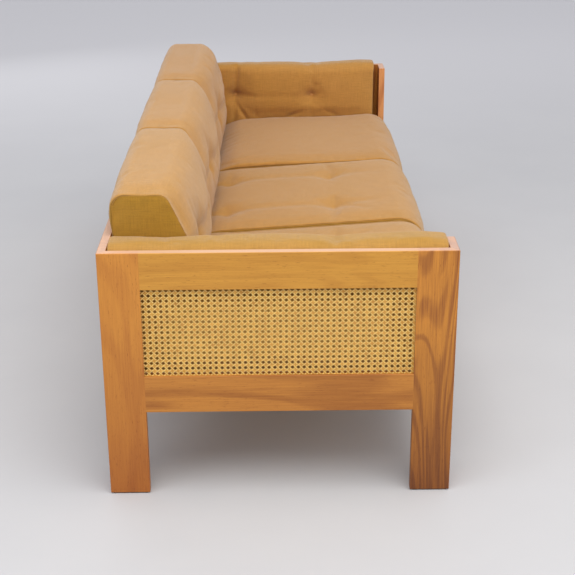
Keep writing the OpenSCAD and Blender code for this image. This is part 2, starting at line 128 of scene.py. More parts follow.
# %% Teak
def teak(name, along, light, dark, offset, years, figure, low, swirl):
    """Oiled teak whose grain runs along axis 0, 1 or 2. years is how many growth lines a change
    of 1 in depth crosses, figure how strongly they show, low a colour towards the floor, and
    swirl how far the lines curl."""
    made, tree, shader = material(name, {"Roughness": 0.42, "IOR": 1.5, "Specular IOR Level": 0.45})
    place = add(tree, "TexCoord").outputs["Object"]

    def stretched(across, length):
        size = [1000 / across] * 3
        size[along] = 1000 / length
        return add(tree, "Mapping", {"Location": (offset, offset * 0.7, -offset), "Scale": size},
                   {"Vector": place}).outputs[0]

    # depth into the trunk: features 120 mm across the board and 700 mm along it
    depth = add(tree, "TexNoise", {"Scale": 1.0, "Detail": 2.0, "Roughness": 0.4, "Distortion": swirl},
                {"Vector": stretched(120, 700)}).outputs[0]
    wander = add(tree, "TexNoise", {"Scale": 1.0, "Detail": 3.0}, {"Vector": stretched(14, 150)}).outputs[0]
    phase = add(tree, "Math", {"operation": "MULTIPLY", 1: years * 2 * math.pi}, {0: depth}).outputs[0]
    phase = add(tree, "Math", {"operation": "MULTIPLY_ADD", 1: 2.2}, {0: wander, 2: phase}).outputs[0]
    year = add(tree, "Math", {"operation": "SINE"}, {0: phase}).outputs[0]
    year = add(tree, "MapRange", {"interpolation_type": "SMOOTHSTEP", "From Min": -0.6, "From Max": 1.0},
               {"Value": year}).outputs[0]
    # fibres 2.4 mm apart and 110 mm long, drawn about twice as coarse as the real ones to show
    fibre = add(tree, "TexNoise", {"Scale": 1.0, "Detail": 4.0, "Roughness": 0.65},
                {"Vector": stretched(2.4, 110)}).outputs[0]
    # pores: dark strokes 1.3 mm wide and 16 mm long
    pore = add(tree, "TexNoise", {"Scale": 1.0, "Detail": 2.0, "Roughness": 0.7},
               {"Vector": stretched(1.3, 16)}).outputs[0]
    pore = add(tree, "MapRange", {"From Min": 0.62, "From Max": 0.78}, {"Value": pore}).outputs[0]
    # slow clouding of the colour over a hand's width
    cloud = add(tree, "TexNoise", {"Scale": 1.0, "Detail": 2.0}, {"Vector": stretched(60, 260)}).outputs[0]
    tone = add(tree, "Math", {"operation": "MULTIPLY", 1: figure}, {0: year}).outputs[0]
    tone = add(tree, "Math", {"operation": "MULTIPLY_ADD", 1: 1.2}, {0: fibre, 2: tone}).outputs[0]
    tone = add(tree, "Math", {"operation": "MULTIPLY_ADD", 1: 0.4}, {0: cloud, 2: tone}).outputs[0]
    tone = add(tree, "MapRange", {"From Min": 0.55, "From Max": 1.5}, {"Value": tone}).outputs[0]
    colour = add(tree, "Mix", {"data_type": "RGBA", 6: linear(light), 7: linear(dark)}, {0: tone}).outputs[2]
    if low:
        height = add(tree, "SeparateXYZ", links={0: place}).outputs["Z"]
        height = add(tree, "MapRange", {"From Min": 0.42, "From Max": 0.0, "To Max": 0.8},
                     {"Value": height}).outputs[0]
        colour = add(tree, "Mix", {"data_type": "RGBA", "blend_type": "MULTIPLY", 7: linear(low)},
                     {0: height, 6: colour}).outputs[2]
    colour = add(tree, "Mix", {"data_type": "RGBA", "blend_type": "MULTIPLY", 7: linear("#a97a5c")},
                 {0: pore, 6: colour}).outputs[2]
    # painted highlight and bleaching: upward faces above 0.5 m are painted a pale pinkish grey, for the sheen
    # of bright light on the oiled tops and the bleaching of the wood there
    up = add(tree, "SeparateXYZ", links={0: add(tree, "NewGeometry").outputs["Normal"]}).outputs["Z"]
    up = add(tree, "MapRange", {"From Min": 0.7, "From Max": 0.95, "To Max": 0.6}, {"Value": up}).outputs[0]
    high = add(tree, "SeparateXYZ", links={0: place}).outputs["Z"]
    high = add(tree, "MapRange", {"From Min": 0.5, "From Max": 0.55}, {"Value": high}).outputs[0]
    up = add(tree, "Math", {"operation": "MULTIPLY"}, {0: up, 1: high}).outputs[0]
    colour = add(tree, "Mix", {"data_type": "RGBA", 7: linear("#d5b7a6")}, {0: up, 6: colour}).outputs[2]
    rough = add(tree, "MapRange", {"To Min": 0.36, "To Max": 0.54}, {"Value": fibre}).outputs[0]
    height = add(tree, "Math", {"operation": "MULTIPLY_ADD", 1: -0.6}, {0: pore, 2: fibre}).outputs[0]
    bump = add(tree, "Bump", {"Strength": 0.25, "Distance": 0.0004}, {"Height": height}).outputs[0]
    for socket, source in (("Base Color", colour), ("Roughness", rough), ("Normal", bump)):
        tree.links.new(source, shader.inputs[socket])
    return made


X_GRAIN, Y_GRAIN, Z_GRAIN = 0, 1, 2
GOLD, AMBER, RUST = ("#d0963a", "#b07426"), ("#c68334", "#9c5d20"), ("#b37238", "#7c4426")
BOARDS = {
    "end_top_rail_left": (Y_GRAIN, *GOLD, 3.1, 8.0, 0.22, None, 0.6),
    "end_bottom_rail_left": (Y_GRAIN, *AMBER, 8.7, 6.0, 0.50, None, 0.6),
    "leg_side_back_left": (Z_GRAIN, "#d18d37", "#b06a28", 13.9, 5.0, 0.26, "#c9a690", 0.6),
    "leg_side_front_left": (Z_GRAIN, "#d08a33", "#8c4f1f", 21.3, 9.0, 0.42, "#96765f", 2.2),
    "leg_face_back_left": (Z_GRAIN, *AMBER, 24.2, 8.0, 0.5, "#c8a08c", 0.6),
    "leg_face_front_left": (Z_GRAIN, *RUST, 31.7, 8.0, 0.5, None, 0.6),
    "end_top_rail_right": (Y_GRAIN, *GOLD, 35.5, 7.0, 0.35, None, 0.6),
    "end_bottom_rail_right": (Y_GRAIN, *AMBER, 39.2, 6.0, 0.5, None, 0.6),
    "leg_side_back_right": (Z_GRAIN, *AMBER, 43.8, 8.0, 0.5, None, 0.6),
    "leg_side_front_right": (Z_GRAIN, *AMBER, 47.1, 8.0, 0.6, None, 0.6),
    "leg_face_back_right": (Z_GRAIN, *AMBER, 52.4, 8.0, 0.5, None, 0.6),
    "leg_face_front_right": (Z_GRAIN, "#d8955a", "#b06d3c", 57.9, 8.0, 0.5, None, 0.6),
    "back_top_rail": (X_GRAIN, *AMBER, 61.6, 7.0, 0.5, None, 0.6),
    "back_bottom_rail": (X_GRAIN, *AMBER, 66.3, 7.0, 0.5, None, 0.6),
    "back_stiles": (Z_GRAIN, *GOLD, 71.2, 7.0, 0.4, None, 0.6),
    "front_rail": (X_GRAIN, *AMBER, 77.7, 7.0, 0.5, None, 0.6),
    "end_beads_left": (Y_GRAIN, *AMBER, 81.0, 7.0, 0.3, None, 0.6),
    "end_beads_right": (Y_GRAIN, *AMBER, 84.0, 7.0, 0.3, None, 0.6),
    "back_beads": (X_GRAIN, *AMBER, 87.0, 7.0, 0.3, None, 0.6),
}


def finish_node(name, made):
    """Gives a CAD node its finish, and leaves its mesh as it is."""
    slots = NODES[name].data.materials
    slots.clear()
    slots.append(made)


for name, looks in BOARDS.items():
    finish_node(name, teak("oiled_teak_" + name, *looks))
print("teak boards", len(BOARDS))

# %% [markdown]
# ## The hidden woods, the steel and the felt
# What carries the cushions is out of sight, so it is plain planed beech: pale and pinkish,
# with short dark flecks where the rays are cut. The corner plates and screws are steel with a
# dull zinc coating, and the feet stand on pressed felt.

# %% Beech, zinc and felt
BEECH_GRAIN = {"seat_slats": Y_GRAIN, "front_ledgers": X_GRAIN, "back_ledgers": X_GRAIN,
               "centre_stretcher": Y_GRAIN, "arm_decks": Y_GRAIN, "arm_cleats": Y_GRAIN,
               "rail_dowels": X_GRAIN}
beeches = {}
for along in sorted(set(BEECH_GRAIN.values())):
    made, tree, shader = material("planed_beech_grain_" + "xyz"[along], {"Roughness": 0.6})
    place = add(tree, "TexCoord").outputs["Object"]
    # rays: strokes 1.2 mm wide and 6 mm long; grain: 8 mm bands, 500 mm long
    rays, grain = (1.2, 6, 0.58, 0.7, "#c49a72"), (8, 500, 0.3, 0.8, "#e2bf93")
    for across, length, low, high, strength in (rays, grain):
        size = [1000 / across] * 3
        size[along] = 1000 / length
        spot = add(tree, "Mapping", {"Scale": size}, {"Vector": place}).outputs[0]
        spot = add(tree, "TexNoise", {"Scale": 1.0, "Detail": 2.0}, {"Vector": spot}).outputs[0]
        spot = add(tree, "MapRange", {"From Min": low, "From Max": high}, {"Value": spot}).outputs[0]
        base = {6: linear("#dfb487")} if across < 2 else {}
        links = {0: spot} if across < 2 else {0: spot, 6: colour}
        colour = add(tree, "Mix", {"data_type": "RGBA", 7: linear(strength), **base}, links).outputs[2]
    tree.links.new(colour, shader.inputs["Base Color"])
    beeches[along] = made
for name, along in BEECH_GRAIN.items():
    finish_node(name, beeches[along])

zinc, tree, shader = material("zinc_plated_steel", {"Metallic": 1.0})
place = add(tree, "TexCoord").outputs["Object"]
spangle = add(tree, "TexVoronoi", {"Scale": 400.0}, {"Vector": place}).outputs["Color"]
tint = add(tree, "Mix", {"data_type": "RGBA", 6: linear("#a9abad"), 7: linear("#c3c4c2")},
           {0: spangle}).outputs[2]
grey = add(tree, "MapRange", {"To Min": 0.35, "To Max": 0.5}, {"Value": spangle}).outputs[0]
tree.links.new(tint, shader.inputs["Base Color"])
tree.links.new(grey, shader.inputs["Roughness"])
for name in ("slat_screws", "joint_plates", "plate_screws"):
    finish_node(name, zinc)

felt, tree, shader = material("pressed_wool_felt", {"Roughness": 0.95, "Sheen Weight": 0.3})
place = add(tree, "TexCoord").outputs["Object"]
hair = add(tree, "TexNoise", {"Scale": 700.0, "Detail": 4.0}, {"Vector": place}).outputs[0]
tint = add(tree, "Mix", {"data_type": "RGBA", 6: linear("#2f2a26"), 7: linear("#5c5248")},
           {0: hair}).outputs[2]
matted = add(tree, "Bump", {"Strength": 0.5, "Distance": 0.0005}, {"Height": hair}).outputs[0]
tree.links.new(tint, shader.inputs["Base Color"])
tree.links.new(matted, shader.inputs["Normal"])
finish_node("felt_glides", felt)
print("hidden parts", len(BEECH_GRAIN) + 4)

# %% [markdown]
# ## Cane
# The open panels are woven from split rattan in the standard six-way pattern: strands in pairs
# up and across, and single diagonals both ways, which leave eight-sided holes half an inch
# apart. A flat sheet with painted holes would lose the light on each strand, so every strand
# is a ribbon here, carried along its own line with a small rise and fall. The pairs weave
# with each other at their crossings, and the diagonals go over one pair and under the next.


# %% Cane weave
STRAND_EDGE = np.array(((-1.0, 0.0), (0.0, 1.0), (1.0, 0.0), (0.0, -1.0)))  # a flat lens section


def ribbons(paths, across, width, thick):
    """Closed ribbons: paths (strand, point, 3) in (a, b, height), each swept by a lens section
    width wide along its own across vector (strand, 2) and thick high. Returns points and quads."""
    strands, count = paths.shape[:2]
    side = np.zeros((strands, 1, 1, 3))
    side[:, 0, 0, :2] = across
    rim = paths[:, :, None, :] + side * (STRAND_EDGE[:, 0] * width / 2)[None, None, :, None]
    rim[..., 2] += STRAND_EDGE[:, 1] * thick / 2
    index = np.arange(strands * count * 4).reshape(strands, count, 4)
    a, b = index[:, :-1], index[:, 1:]
    tube = np.stack((a, np.roll(a, -1, 2), np.roll(b, -1, 2), b), -1).reshape(-1, 4)
    ends = np.concatenate((index[:, 0, ::-1], index[:, -1]))
    return rim.reshape(-1, 3), np.concatenate((tube, ends))


def weave(width, height, pitch_a, pitch_b, start_a, start_b, edge):
    """Strands of a six-way cane panel on 0..width by 0..height, carried on by edge into the groove.
    A pair's strands stand e either side of its line and rise A (y/e) exp((1 - (y/e)^2) / 2) at each
    crossing, with opposite signs. The diagonals a/p -+ b/q = k + 1/2 rise +-B cos 2 pi (a/p - 1/2)."""
    e, rise, lift = 1.4, 0.42, 0.75
    made = []

    def bend(distance):
        return distance / e * np.exp(0.5 * (1 - (distance / e) ** 2))

    def sweep(paths, across, strand_width, thick, flag):
        p, q = ribbons(paths, across, strand_width, thick)
        made.append((p, q + sum(len(points) for points, *_ in made), np.full(len(p), flag)))

    def lines(start, pitch, length):
        first = math.ceil((-edge * 0.6 - start) / pitch)
        last = math.floor((length + edge * 0.6 - start) / pitch)
        return start + pitch * np.arange(first, last + 1)

    def along(start, pitch, length):
        # four points to a cell: the peaks of the bend, and where it has died out
        cell = np.array((-0.28, -e / pitch, e / pitch, 0.28))
        spots = (start + pitch * (np.arange(-2, length / pitch + 3)[:, None] + cell)).ravel()
        spots = spots[(spots > -edge) & (spots < length + edge)]
        return np.concatenate(((-edge,), spots, (length + edge,)))

    for turned in (False, True):
        line_start, line_pitch, line_length, run_start, run_pitch, run_length = (
            (start_a, pitch_a, width, start_b, pitch_b, height) if not turned
            else (start_b, pitch_b, height, start_a, pitch_a, width))
        run = along(run_start, run_pitch, run_length)
        middle = lines(line_start, line_pitch, line_length)
        nearest = (run - run_start + run_pitch / 2) % run_pitch - run_pitch / 2
        for side in (-1, 1):
            paths = np.zeros((len(middle), len(run), 3))
            paths[..., 1 if turned else 0] = (middle + side * e)[:, None]
            paths[..., 0 if turned else 1] = run
            paths[..., 2] = (-1 if turned else 1) * side * rise * bend(nearest)
            vector = np.tile((0.0, 1.0) if turned else (1.0, 0.0), (len(middle), 1))
            sweep(paths, -vector if turned else vector, 2.0, 0.55, 0.0)
    length = math.hypot(pitch_a, pitch_b)
    for sign in (1, -1):
        # offsets of the diagonals, counted where they cross b = start_b
        low = (-edge - start_a) / pitch_a - (sign > 0) * (height + 2 * edge) / pitch_b - 1
        high = (width + edge - start_a) / pitch_a + (sign < 0) * (height + 2 * edge) / pitch_b + 1
        for k in np.arange(math.floor(low), math.ceil(high) + 1) + 0.5:
            # b as cells from start_b; a/p = k + sign b/q
            b0, b1 = (-edge - start_b) / pitch_b, (height + edge - start_b) / pitch_b
            a0, a1 = (-edge - start_a) / pitch_a, (width + edge - start_a) / pitch_a
            from_a = sorted(((a0 - k) * sign, (a1 - k) * sign))
            b0, b1 = max(b0, from_a[0]), min(b1, from_a[1])
            if b1 - b0 < 0.3:
                continue
            steps = np.arange(math.floor(b0 * 4), math.ceil(b1 * 4) + 1) / 4
            steps = np.concatenate(((b0,), steps[(steps > b0 + 0.05) & (steps < b1 - 0.05)], (b1,)))
            cells = k + sign * steps
            path = np.stack((start_a + cells * pitch_a, start_b + steps * pitch_b,
                             sign * lift * np.cos(2 * np.pi * (cells - 0.5))), -1)[None]
            sweep(path, np.array(((pitch_b, -sign * pitch_a),)) / length, 2.0, 0.5, 1.0)
    return [np.concatenate(column) for column in zip(*made)]


def make_mesh(name, points, faces):
    """A new object at the origin from points in metres and quads."""
    mesh = bpy.data.meshes.new(name)
    mesh.vertices.add(len(points))
    mesh.vertices.foreach_set("co", np.ascontiguousarray(points, np.float32).ravel())
    mesh.loops.add(faces.size)
    mesh.loops.foreach_set("vertex_index", np.ascontiguousarray(faces, np.int32).ravel())
    mesh.polygons.add(len(faces))
    mesh.polygons.foreach_set("loop_start", np.arange(0, faces.size, faces.shape[1], dtype=np.int32))
    mesh.update(calc_edges=True)
    mesh.validate()
    mesh.polygons.foreach_set("use_smooth", np.ones(len(mesh.polygons), bool))
    made = bpy.data.objects.new(name, mesh)
    scene.collection.objects.link(made)
    return made


# %% [markdown]
# Rattan bark is smooth and slightly glossy, straw yellow, and each strand is a little lighter
# or darker than the next, with brown nodes where the leaves grew.

# %% Cane finish
cane, tree, shader = material("split_rattan_bark", {"Roughness": 0.42, "IOR": 1.5, "Specular IOR Level": 0.5})
place = add(tree, "TexCoord").outputs["Object"]
patch = add(tree, "TexNoise", {"Scale": 45.0, "Detail": 3.0}, {"Vector": place}).outputs[0]
fibre = add(tree, "TexNoise", {"Scale": 900.0, "Detail": 2.0}, {"Vector": place}).outputs[0]
tone = add(tree, "Math", {"operation": "MULTIPLY_ADD", 1: 0.5}, {0: fibre, 2: patch}).outputs[0]
tone = add(tree, "MapRange", {"From Min": 0.5, "From Max": 1.0}, {"Value": tone}).outputs[0]
tint = add(tree, "Mix", {"data_type": "RGBA", 6: linear("#f6c05c"), 7: linear("#d6973d")},
           {0: tone}).outputs[2]
# the single diagonals lie on top, with their glossy bark outwards, and are painted lighter towards pale
# yellow as a painted highlight for the light that they catch
single = add(tree, "Attribute", {"attribute_name": "single"}).outputs["Fac"]
single = add(tree, "Math", {"operation": "MULTIPLY", 1: 0.75}, {0: single}).outputs[0]
tint = add(tree, "Mix", {"data_type": "RGBA", 7: linear("#ffe794")}, {0: single, 6: tint}).outputs[2]
knot = add(tree, "TexNoise", {"Scale": 170.0, "Detail": 1.0}, {"Vector": place}).outputs[0]
knot = add(tree, "MapRange", {"From Min": 0.68, "From Max": 0.76, "To Max": 0.6}, {"Value": knot}).outputs[0]
tint = add(tree, "Mix", {"data_type": "RGBA", 7: linear("#a8743c")}, {0: knot, 6: tint}).outputs[2]
grain = add(tree, "Bump", {"Strength": 0.3, "Distance": 0.0002}, {"Height": fibre}).outputs[0]
tree.links.new(tint, shader.inputs["Base Color"])
tree.links.new(grain, shader.inputs["Normal"])

OPENING = (289.0, 491.0)  # lower and upper edge of every cane opening
END_WIDTH, END_PLANE = 584.0, 953.0  # an end panel's opening, and how far out its cane is
BACK_WIDTH, BACK_SPACING, BACK_PLANE = 541.33, 601.33, 373.0  # the same for the three in the back
GROOVE = 6.5  # how far the strands run on behind the frame
PITCH = 12.7  # half an inch between holes, the standard medium cane
ROW = 12.1  # the rows are pulled a little closer than the columns
FIRST_LINES = (-2.8, -1.15)  # first pair of strands from the opening's corner, across and up


def cane_panel(name, replaced, width, to_world):
    """One woven panel; to_world places its (a, b, height) in millimetres in the sofa's frame."""
    columns = round(width / PITCH)
    points, quads, single = weave(width, OPENING[1] - OPENING[0], width / columns, ROW, *FIRST_LINES, GROOVE)
    panel = make_mesh(name, to_world(points) * MM, quads)
    panel.data.attributes.new("single", "FLOAT", "POINT").data.foreach_set("value", single.astype(np.float32))
    panel.data.materials.append(cane)
    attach(panel, "frame")
    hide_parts(replaced)
    print(name, len(quads) * 2, "triangles")


WORDS = ((-1, "left"), (0, "middle"), (1, "right"))
for side, word in WORDS[::2]:
    cane_panel(
        "woven_end_cane_" + word, "end_cane_" + word, END_WIDTH,
        lambda p, side=side: np.stack(
            (side * (END_PLANE + p[:, 2]), -side * (END_WIDTH / 2 - p[:, 0]), p[:, 1] + OPENING[0]), -1),
    )
for i, word in WORDS:
    cane_panel(
        "woven_back_cane_" + word, "back_cane_" + word, BACK_WIDTH,
        lambda p, i=i: np.stack(
            (i * BACK_SPACING + BACK_WIDTH / 2 - p[:, 0], BACK_PLANE + p[:, 2], p[:, 1] + OPENING[0]), -1),
    )

# %% [markdown]
# ## Wool
# The covers are a plain-woven wool in mustard. Years of light have bleached the tops and fronts
# to a dusty tan, while the boxing between the cushions has kept its colour. Each cover carries a
# point attribute for how pale it is painted: that bleaching, and on the side faces of the arm
# cushions painted light as well. A second is painted light too: it makes the cloth redder along
# the sofa, towards the warmer light at the far end. And one, seam, is 1 on a seam, where the cloth
# is darkened as painted shade in the seam's groove and for the stitches.
# The weave reads the piece's own UV map, which is laid out in metres of cloth.

# %% Wool
THREAD = 1.7  # mm between threads; the real cloth has about 1.2, drawn coarser so that it shows
wool, tree, shader = material("plain_woven_wool", {
    "Roughness": 0.92, "Sheen Weight": 0.35, "Sheen Roughness": 0.45, "Specular IOR Level": 0.2, "IOR": 1.5})
place = add(tree, "TexCoord").outputs["Object"]
cloth = add(tree, "UVMap", {"uv_map": "cloth"}).outputs[0]
threads = add(tree, "VectorMath", {"operation": "SCALE", "Scale": math.pi / (THREAD * MM)},
              {0: cloth}).outputs[0]
threads = add(tree, "SeparateXYZ", links={0: threads})
warp = add(tree, "Math", {"operation": "SINE"}, {0: threads.outputs[0]}).outputs[0]
weft = add(tree, "Math", {"operation": "SINE"}, {0: threads.outputs[1]}).outputs[0]
over = add(tree, "Math", {"operation": "MULTIPLY"}, {0: warp, 1: weft}).outputs[0]
# heather: fibres of several dyed tones, about 2.5 mm patches pulled along the threads
heather = add(tree, "TexNoise", {"Scale": 420.0, "Detail": 5.0, "Roughness": 0.75},
              {"Vector": place}).outputs[0]
# slubs: threads that run thick and thin, 2.4 mm apart and 40 mm long, in the warp and in the weft
slub = None
for size in ((24.0, 420.0, 1.0), (420.0, 24.0, 1.0)):
    run = add(tree, "Mapping", {"Scale": size}, {"Vector": cloth}).outputs[0]
    run = add(tree, "TexNoise", {"Scale": 1.0, "Detail": 3.0, "Roughness": 0.65}, {"Vector": run}).outputs[0]
    slub = add(tree, "Math", {"operation": "ADD"}, {0: slub, 1: run}).outputs[0] if slub else run
stain = add(tree, "TexNoise", {"Scale": 9.0, "Detail": 3.0, "Roughness": 0.6}, {"Vector": place}).outputs[0]
# pale tan where the cloth is bleached, and paler on the arm cushions' side faces as painted light
fading_and_painted_light = add(tree, "Attribute", {"attribute_name": "fading_and_painted_light"}).outputs["Fac"]
mix = add(tree, "Math", {"operation": "MULTIPLY_ADD", 1: 0.5, 2: -0.25}, {0: stain}).outputs[0]
mix = add(tree, "Math", {"operation": "ADD", "use_clamp": True}, {0: fading_and_painted_light, 1: mix}).outputs[0]
tint = add(tree, "Mix", {"data_type": "RGBA", 6: linear("#a47b26"), 7: linear("#b48748")},
           {0: mix}).outputs[2]
# painted light: the cloth is painted redder towards the far end, where the light is warmer
painted_warm_light = add(tree, "Attribute", {"attribute_name": "painted_warm_light"}).outputs["Fac"]
tint = add(tree, "Mix", {"data_type": "RGBA", "blend_type": "MULTIPLY", 7: linear("#fff6ee")},
           {0: painted_warm_light, 6: tint}).outputs[2]
speck = add(tree, "Math", {"operation": "MULTIPLY_ADD", 1: 1.1}, {0: slub, 2: heather}).outputs[0]
speck = add(tree, "MapRange", {"From Min": 1.2, "From Max": 2.0, "To Min": 0.82, "To Max": 1.17},
            {"Value": speck}).outputs[0]
speck = add(tree, "Math", {"operation": "MULTIPLY_ADD", 1: 0.06}, {0: over, 2: speck}).outputs[0]
# painted shade: the cloth is darkened along each seam, for the shadow in its groove, and for the stitches
seam = add(tree, "Attribute", {"attribute_name": "seam"}).outputs["Fac"]
speck = add(tree, "Math", {"operation": "MULTIPLY_ADD", 1: -0.62}, {0: seam, 2: speck}).outputs[0]
tint = add(tree, "Mix", {"data_type": "RGBA", "blend_type": "MULTIPLY", 0: 1.0},
           {6: tint, 7: speck}).outputs[2]
relief = add(tree, "Math", {"operation": "MULTIPLY_ADD", 1: 0.9}, {0: heather, 2: over}).outputs[0]
relief = add(tree, "Math", {"operation": "MULTIPLY_ADD", 1: 1.2}, {0: slub, 2: relief}).outputs[0]
nap = add(tree, "Bump", {"Strength": 0.45, "Distance": 0.0007}, {"Height": relief}).outputs[0]
# shallow puckers, 25 to 60 mm long, that loose cloth has over wadding
pucker = add(tree, "TexNoise", {"Scale": 24.0, "Detail": 2.0, "Roughness": 0.5}, {"Vector": place}).outputs[0]
nap = add(tree, "Bump", {"Strength": 0.5, "Distance": 0.004}, {"Height": pucker, "Normal": nap}).outputs[0]
tree.links.new(tint, shader.inputs["Base Color"])
tree.links.new(nap, shader.inputs["Normal"])
print("threads drawn every", THREAD, "mm")

# %% [markdown]
# ## A cushion's pattern
# An upholsterer cuts one long band that goes round the cushion's profile, and two end panels,
# and sews them together along the profile. The mesh is laid out in the same way. The outline is
# a polygon with rounded corners; rings of it run along the cushion and close in over the ends;
# and each end panel is a grid stretched between the four sides of the last ring.


# %% Outline, rings and end panels
ARC = 16  # points on half a rounded corner, before the even steps are taken


def outline(corners, radii, counts):
    """Closed outline, anticlockwise: section i runs from the middle of rounded corner i to the
    middle of the next in counts[i] equal steps of length. Returns points and outward normals."""
    corners, radii = np.asarray(corners, float), np.asarray(radii, float)
    ahead = np.roll(corners, -1, 0) - corners
    ahead /= np.linalg.norm(ahead, axis=1)[:, None]
    behind = np.roll(ahead, 1, 0)
    first = np.arctan2(-behind[:, 0], behind[:, 1])
    turn = (np.arctan2(-ahead[:, 0], ahead[:, 1]) - first) % (2 * np.pi)
    inward = (ahead - behind) / np.linalg.norm(ahead - behind, axis=1)[:, None]
    centres = corners + inward * (radii / np.cos(turn / 2))[:, None]
    points, normals = [], []
    for i, count in enumerate(counts):
        j = (i + 1) % len(corners)
        leaving = first[i] + turn[i] * np.linspace(0.5, 1, ARC)
        angles = np.unwrap(np.concatenate((leaving, first[j] + turn[j] * np.linspace(0, 0.5, ARC))))
        middle, radius = np.repeat((centres[i], centres[j]), ARC, 0), np.repeat((radii[i], radii[j]), ARC)
        dense = middle + radius[:, None] * np.stack((np.cos(angles), np.sin(angles)), -1)
        run = np.concatenate(((0,), np.cumsum(np.linalg.norm(np.diff(dense, axis=0), axis=1))))
        at = np.linspace(0, run[-1], count + 1)[:-1]
        points.append(np.stack((np.interp(at, run, dense[:, 0]), np.interp(at, run, dense[:, 1])), -1))
        turned = np.interp(at, run, angles)
        normals.append(np.stack((np.cos(turned), np.sin(turned)), -1))
    return np.concatenate(points), np.concatenate(normals)


ROUND = 5.0  # mm, radius of the cloth as it turns over the edge into the end panel
END_TURN = np.radians((0, 24, 42, 50, 58, 74, 90))  # places of the last rings on that radius
SEAM_RING = 3  # which of them is the seam
SEAM_DEPTH = 1.6  # mm that the stitches pull the seam in


def cushion_form(corners, radii, counts, half, step):
    """Rings of the outline along -half..half, drawn in by ROUND (1 - cos turn) over each end, and
    end panels by transfinite interpolation: a point is the two blends of opposite sides minus
    the blend of the four corners. Returns points and normals in (along, u, v), quads, cloth
    coordinates for each quad's corners, and how much of a seam each point is."""
    ring, out = outline(corners, radii, counts)
    n = len(ring)
    inner = np.linspace(-(half - ROUND), half - ROUND, int(round(2 * (half - ROUND) / step)) + 1)[1:-1]
    end = half - ROUND + ROUND * np.sin(END_TURN)
    x = np.concatenate((-end[::-1], inner, end))
    turn = np.concatenate((-END_TURN[::-1], inner * 0, END_TURN))
    inset = ROUND * (1 - np.cos(turn))
    seam = np.zeros(len(x))
    seam[[len(END_TURN) - 1 - SEAM_RING, len(x) - len(END_TURN) + SEAM_RING]] = 1.0
    normal = np.empty((len(x), n, 3))
    normal[..., 0] = np.sin(turn)[:, None]
    normal[..., 1:] = out[None] * np.cos(turn)[:, None, None]
    points = np.empty((len(x), n, 3))
    points[..., 0] = x[:, None]
    points[..., 1:] = ring[None] - out[None] * inset[:, None, None]
    points -= normal * (SEAM_DEPTH * seam)[:, None, None]
    sides = np.linalg.norm(np.diff(np.vstack((ring, ring[:1])), axis=0), axis=1)
    girth = np.concatenate(((0,), np.cumsum(sides)))
    index = np.arange(len(x) * n).reshape(len(x), n)
    a, b = index[:-1], index[1:]
    band = np.stack((a, np.roll(a, -1, 1), np.roll(b, -1, 1), b), -1).reshape(-1, 4)
    run = np.concatenate(((0,), np.cumsum(np.hypot(np.diff(x), np.diff(inset)))))
    g0, g1 = np.broadcast_to(girth[:-1], a.shape), np.broadcast_to(girth[1:], a.shape)
    r0, r1 = np.broadcast_to(run[:-1, None], a.shape), np.broadcast_to(run[1:, None], a.shape)
    band_uv = np.stack((g0, r0, g1, r0, g1, r1, g0, r1), -1).reshape(-1, 4, 2)
    p, q = counts[0], counts[1]  # the sections after the third make up the fourth side
    s1, t1 = np.linspace(0, 1, p + 1)[:, None, None], np.linspace(0, 1, q + 1)[None, :, None]
    s0, t0 = 1 - s1, 1 - t1
    last = np.concatenate((np.arange(n), (0,)))
    south, east = last[: p + 1], last[p : p + q + 1]
    north, west = last[p + q : 2 * p + q + 1][::-1], last[2 * p + q :][::-1]
    stores = [points.reshape(-1, 3)], [normal.reshape(-1, 3)], [band], [band_uv]
    used = len(x) * n
    for end in (0, -1):
        rim = points[end, :, 1:]
        patch = (t0 * rim[south][:, None] + t1 * rim[north][:, None]
                 + s0 * rim[west][None] + s1 * rim[east][None]
                 - s0 * t0 * rim[south[0]] - s1 * t0 * rim[south[-1]]
                 - s0 * t1 * rim[north[0]] - s1 * t1 * rim[north[-1]])
        grid = np.empty((p + 1, q + 1), int)
        ring_index = index[end]
        grid[:, 0], grid[:, -1] = ring_index[south], ring_index[north]
        grid[0, :], grid[-1, :] = ring_index[west], ring_index[east]
        grid[1:-1, 1:-1] = used + np.arange((p - 1) * (q - 1)).reshape(p - 1, q - 1)
        used += (p - 1) * (q - 1)
        middle = np.empty(((p - 1) * (q - 1), 3))
        middle[:, 0], middle[:, 1:] = x[end], patch[1:-1, 1:-1].reshape(-1, 2)
        facing = np.zeros_like(middle)
        facing[:, 0] = np.sign(x[end])
        quad = np.stack((grid[:-1, :-1], grid[1:, :-1], grid[1:, 1:], grid[:-1, 1:]), -1).reshape(-1, 4)
        cell = np.stack((patch[:-1, :-1], patch[1:, :-1], patch[1:, 1:], patch[:-1, 1:]), 2).reshape(-1, 4, 2)
        if end == 0:
            quad, cell = quad[:, ::-1], cell[:, ::-1]
        for store, new in zip(stores, (middle, facing, quad, cell)):
            store.append(new)
    points, normals, faces, uvs = (np.concatenate(store) for store in stores)
    seams = np.zeros(len(points))
    seams[: len(x) * n] = np.repeat(seam, n)
    return points, normals, faces, uvs, seams


def hump(value, middle, width):
    """Bell of height 1: exp(-((value - middle) / width)^2)."""
    return np.exp(-(((value - middle) / width) ** 2))


def ease(value, low, high):
    """Smooth step from 0 at low to 1 at high: 3 t^2 - 2 t^3."""
    t = np.clip((value - low) / (high - low), 0, 1)
    return t * t * (3 - 2 * t)


def tuft(a, b, at, depth, reach):
    """Dimple of a pulled cord: depth exp(-r / reach), rounded within 5 mm of the cord."""
    r = np.sqrt((a - at[0]) ** 2 + (b - at[1]) ** 2 + 25) - 5
    return depth * np.exp(-r / reach)


# %% [markdown]
# ## Three families of cushion
# The seat cushions lie on the slats and bulge over the front rail. The back cushions stand on
# them and lean on the cane, and swell over the top rail. The arm cushions are thin and stand
# between the seat and the end panel. Each family gives its outline, how far the stuffing pushes
# each side out, where the cords pull it in, and where a neighbour keeps it flat.

